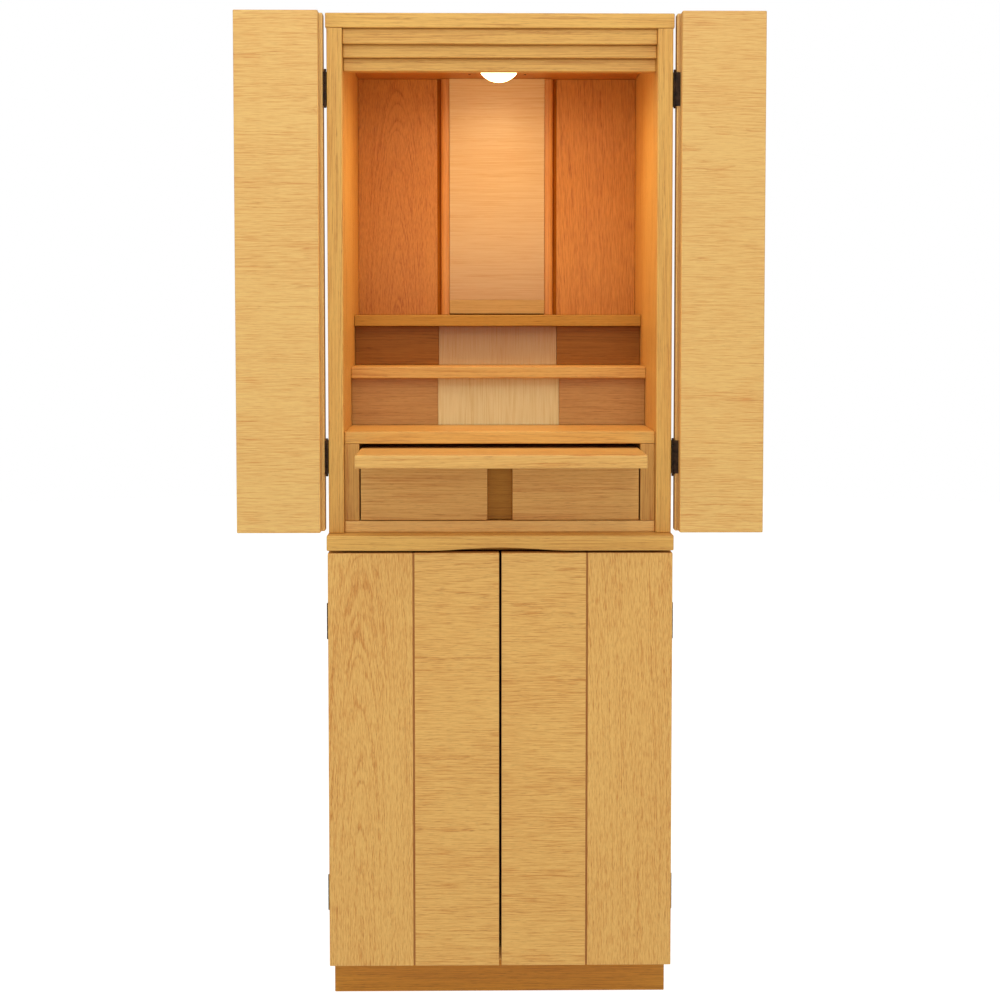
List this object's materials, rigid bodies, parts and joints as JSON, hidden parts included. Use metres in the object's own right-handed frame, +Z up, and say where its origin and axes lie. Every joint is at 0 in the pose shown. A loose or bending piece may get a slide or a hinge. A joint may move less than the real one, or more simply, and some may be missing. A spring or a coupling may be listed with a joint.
{
  "type": "household altar cabinet",
  "caption": "Floor-standing household altar cabinet in light oak: lit chamber with stepped shelves behind folding doors, pull-out tray and drawer over a cupboard on a plinth.",
  "frame": {"origin": "centre of the bounding box at floor level, with the folding doors open flat beside the body and the tray pulled out", "axes": "+Z up, +X to the viewer's right, the doors and the tray face -Y"},
  "size_m": [0.6856, 0.462, 1.3],
  "materials": {
    "oak_door": "light oak veneer, satin lacquer",
    "oak_body": "light oak veneer, satin lacquer",
    "oak_inner": "oak veneer, satin lacquer, warmed by the lamp",
    "oak_pale": "pale figured veneer, satin lacquer",
    "oak_dark": "oak veneer, satin lacquer",
    "bronze_hinge": "dark bronze finish on steel",
    "lamp_shade": "frosted white shade, lit"
  },
  "bodies": {
    "carcass": {"plinth_frame": "oak_dark", "lower_side_left": "oak_body", "lower_side_right": "oak_body", "lower_bottom": "oak_body", "lower_back": "oak_dark", "waist_board": "oak_body", "upper_side_left": "oak_body", "upper_side_right": "oak_body", "top_board": "oak_body", "upper_back": "oak_dark", "header_lath_1": "oak_body", "header_lath_2": "oak_body", "header_lath_3": "oak_body", "ceiling_board": "oak_inner", "lamp_dome": "lamp_shade", "back_panel_left": "oak_inner", "back_panel_right": "oak_inner", "back_trim_left": "oak_pale", "back_trim_right": "oak_pale", "back_centre_board": "oak_pale", "shelf_1": "oak_inner", "shelf_2": "oak_inner", "shelf_3": "oak_inner", "riser_1": "oak_dark", "riser_2": "oak_dark", "riser_panel_1": "oak_pale", "riser_panel_2": "oak_pale", "partition_left": "oak_body", "partition_right": "oak_body", "bottom_rail": "oak_body", "tray_floor": "oak_body", "hinge_body_upper_left_1": "bronze_hinge", "hinge_body_upper_left_2": "bronze_hinge", "hinge_body_upper_right_1": "bronze_hinge", "hinge_body_upper_right_2": "bronze_hinge", "hinge_body_lower_left_1": "bronze_hinge", "hinge_body_lower_left_2": "bronze_hinge", "hinge_body_lower_right_1": "bronze_hinge", "hinge_body_lower_right_2": "bronze_hinge"},
    "tray": {"pull_out_tray": "oak_body"},
    "drawer": {"drawer_front": "oak_body", "drawer_box": "oak_pale"},
    "outer_leaf_left_body": {"outer_leaf_left": "oak_door", "hinge_door_upper_left_1": "bronze_hinge", "hinge_door_upper_left_2": "bronze_hinge", "fold_hinge_outer_left": "bronze_hinge"},
    "outer_leaf_right_body": {"outer_leaf_right": "oak_door", "hinge_door_upper_right_1": "bronze_hinge", "hinge_door_upper_right_2": "bronze_hinge", "fold_hinge_outer_right": "bronze_hinge"},
    "inner_leaf_left_body": {"inner_leaf_left": "oak_door", "fold_hinge_inner_left": "bronze_hinge"},
    "inner_leaf_right_body": {"inner_leaf_right": "oak_door", "fold_hinge_inner_right": "bronze_hinge"},
    "lower_door_left_body": {"lower_door_left": "oak_door", "hinge_door_lower_left_1": "bronze_hinge", "hinge_door_lower_left_2": "bronze_hinge"},
    "lower_door_right_body": {"lower_door_right": "oak_door", "hinge_door_lower_right_1": "bronze_hinge", "hinge_door_lower_right_2": "bronze_hinge"}
  },
  "joints": [
    {"name": "tray_slide", "type": "slide", "parent": "carcass", "child": "tray", "axis": [0, -1, 0], "range_m": [-0.124, 0]},
    {"name": "drawer_slide", "type": "slide", "parent": "carcass", "child": "drawer", "axis": [0, -1, 0], "range_m": [0, 0.2]},
    {"name": "outer_leaf_left_turn", "type": "hinge", "parent": "carcass", "child": "outer_leaf_left_body", "pos_m": [-0.2257, -0.1198, 0.9644], "axis": [0, 0, 1], "range_deg": [0, 95]},
    {"name": "outer_leaf_right_turn", "type": "hinge", "parent": "carcass", "child": "outer_leaf_right_body", "pos_m": [0.2257, -0.1198, 0.9644], "axis": [0, 0, -1], "range_deg": [0, 95]},
    {"name": "inner_leaf_left_turn", "type": "hinge", "parent": "outer_leaf_left_body", "child": "inner_leaf_left_body", "pos_m": [-0.3418, -0.1196, 0.9644], "axis": [0, 0, -1], "range_deg": [0, 180]},
    {"name": "inner_leaf_right_turn", "type": "hinge", "parent": "outer_leaf_right_body", "child": "inner_leaf_right_body", "pos_m": [0.3418, -0.1196, 0.9644], "axis": [0, 0, 1], "range_deg": [0, 180]},
    {"name": "lower_door_left_turn", "type": "hinge", "parent": "carcass", "child": "lower_door_left_body", "pos_m": [-0.2257, -0.1198, 0.33], "axis": [0, 0, -1], "range_deg": [0, 180]},
    {"name": "lower_door_right_turn", "type": "hinge", "parent": "carcass", "child": "lower_door_right_body", "pos_m": [0.2257, -0.1198, 0.33], "axis": [0, 0, 1], "range_deg": [0, 180]}
  ]
}
